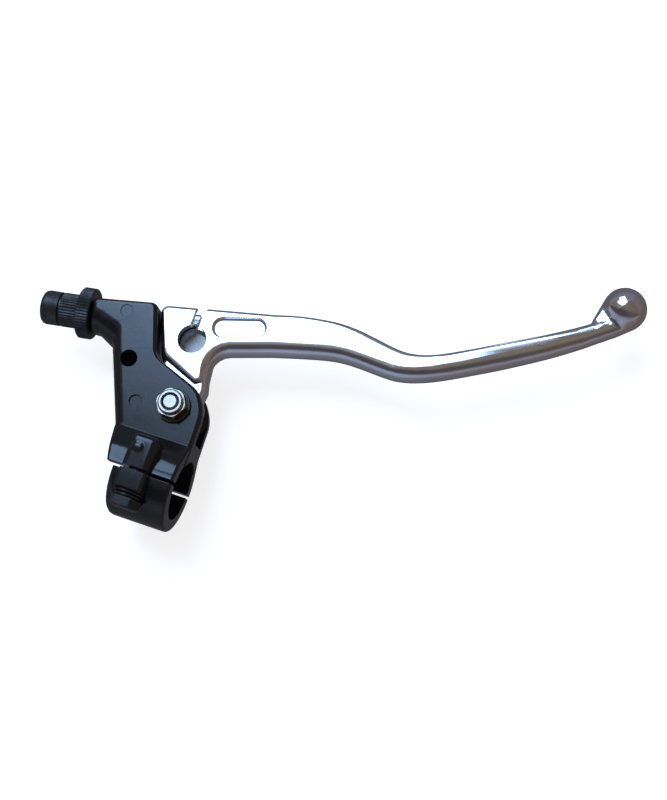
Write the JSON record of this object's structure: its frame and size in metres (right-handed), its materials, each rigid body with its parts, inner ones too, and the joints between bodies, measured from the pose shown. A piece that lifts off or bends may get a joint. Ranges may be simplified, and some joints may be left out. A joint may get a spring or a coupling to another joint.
{
  "type": "motorcycle clutch lever with perch",
  "caption": "Polished alloy clutch lever with a ball tip, pivoting in a black handlebar perch that has a two-part clamp and a knurled cable adjuster with its lock ring.",
  "frame": {"origin": "centre of the handlebar clamp's bore, half-way through the clamp's height", "axes": "+X along the handlebar towards the lever's ball tip, +Y from the handlebar towards the lever's pivot and blade, +Z along the pivot bolt towards its nut"},
  "size_m": [0.2162, 0.1388, 0.0412],
  "materials": {
    "black_paint": "semi-gloss black paint over a cast alloy body",
    "polished_aluminium": "polished forged alloy",
    "zinc_plate": "bright zinc plate",
    "dull_zinc": "dull, darkened yellow zinc plate",
    "black_zinc": "black zinc plate on steel",
    "sintered_bronze": "oil-filled sintered bronze",
    "nylon": "grey nylon",
    "spring_steel": "ground spring steel",
    "blackened_steel": "phosphated and blacked steel"
  },
  "bodies": {
    "perch": {"perch_body": "black_paint", "clamp_cap": "black_paint", "clamp_bolt_near": "black_zinc", "clamp_bolt_far": "black_zinc", "clamp_washer_near": "black_zinc", "clamp_washer_far": "black_zinc", "clamp_spring_washer_near": "black_zinc", "clamp_spring_washer_far": "black_zinc", "pivot_bolt": "zinc_plate", "pivot_nut": "zinc_plate", "pivot_nut_insert": "nylon", "pivot_washer_nut": "dull_zinc", "pivot_washer_head": "dull_zinc"},
    "lever": {"lever_blade": "polished_aluminium", "pivot_bush": "sintered_bronze", "thrust_washer_near": "spring_steel", "thrust_washer_far": "spring_steel"},
    "lock_ring": {"lock_ring": "blackened_steel"},
    "adjuster": {"adjuster_barrel": "blackened_steel"}
  },
  "joints": [
    {"name": "lever_swing", "type": "hinge", "parent": "perch", "child": "lever", "pos_m": [0.0006, 0.0275, 0], "axis": [0, 0, -1], "range_deg": [0, 30]},
    {"name": "adjuster_travel", "type": "slide", "parent": "perch", "child": "lock_ring", "axis": [-0.9882, -0.153, 0], "range_m": [0, 0.006]},
    {"name": "adjuster_turn", "type": "hinge", "parent": "lock_ring", "child": "adjuster", "pos_m": [-0.043, 0.05315, 0], "axis": [-0.9882, -0.153, 0], "range_deg": [0, 1730]}
  ],
  "couplings": [
    {"joint": "adjuster_turn", "follows": "adjuster_travel", "rad_per_m": 5026.5}
  ]
}
